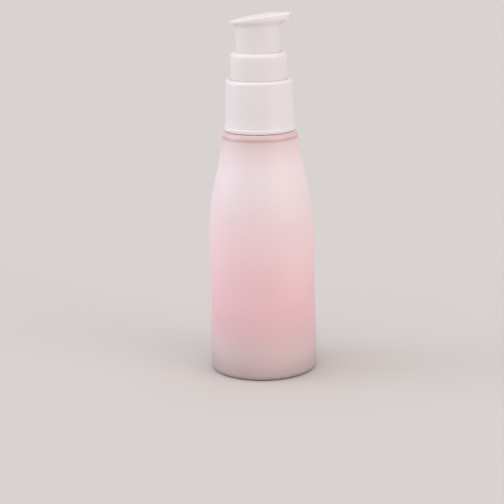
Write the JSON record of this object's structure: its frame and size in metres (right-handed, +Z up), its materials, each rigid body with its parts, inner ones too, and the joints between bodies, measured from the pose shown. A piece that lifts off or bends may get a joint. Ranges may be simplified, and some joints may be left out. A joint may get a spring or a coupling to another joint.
{
  "type": "pump bottle",
  "caption": "Frosted round bottle that narrows to a screw-on dispensing pump with a stepped white collar and a push-down spout head.",
  "frame": {"origin": "centre of the ring that the bottle stands on", "axes": "+Z up along the axis of the bottle and pump, +X the way the spout points at rest"},
  "size_m": [0.0384, 0.0384, 0.128],
  "materials": {
    "frosted_bottle": "frosted, milky, faintly pink",
    "white_plastic": "semi-gloss white",
    "natural_plastic": "satin, uncoloured polypropylene",
    "soft_seal": "soft matt polyethylene",
    "spring_steel": "bright drawn wire"
  },
  "bodies": {
    "bottle": {"bottle": "frosted_bottle"},
    "pump_unit": {"pump_housing": "natural_plastic", "housing_cap": "natural_plastic", "guide_sleeve": "white_plastic", "neck_gasket": "soft_seal", "dip_tube": "natural_plastic", "ball_retainer": "natural_plastic", "return_spring": "spring_steel"},
    "collar": {"collar": "white_plastic"},
    "plunger": {"stem": "natural_plastic", "valve_plug": "natural_plastic"},
    "head": {"actuator": "white_plastic"},
    "piston": {"piston": "soft_seal"},
    "ball": {"inlet_ball": "spring_steel"}
  },
  "joints": [
    {"name": "pump_lift", "type": "slide", "parent": "bottle", "child": "pump_unit", "axis": [0, 0, 1], "range_m": [0, 0.00476]},
    {"name": "collar_turn", "type": "hinge", "parent": "pump_unit", "child": "collar", "pos_m": [0, 0, 0.0873], "axis": [0, 0, 1], "range_deg": [0, 540]},
    {"name": "press", "type": "slide", "parent": "pump_unit", "child": "plunger", "axis": [0, 0, -1], "range_m": [0, 0.006], "stiffness_N_per_m": 800, "springref_m": -0.006, "deforming": ["return_spring"]},
    {"name": "head_turn", "type": "hinge", "parent": "plunger", "child": "head", "pos_m": [0, 0, 0.11035], "axis": [0, 0, 1], "continuous": true},
    {"name": "piston_slip", "type": "slide", "parent": "plunger", "child": "piston", "axis": [0, 0, 1], "range_m": [0, 0.0008]},
    {"name": "ball_lift", "type": "slide", "parent": "pump_unit", "child": "ball", "axis": [0, 0, 1], "range_m": [0, 0.0008]}
  ],
  "couplings": [
    {"joint": "collar_turn", "follows": "pump_lift", "rad_per_m": 1979}
  ]
}
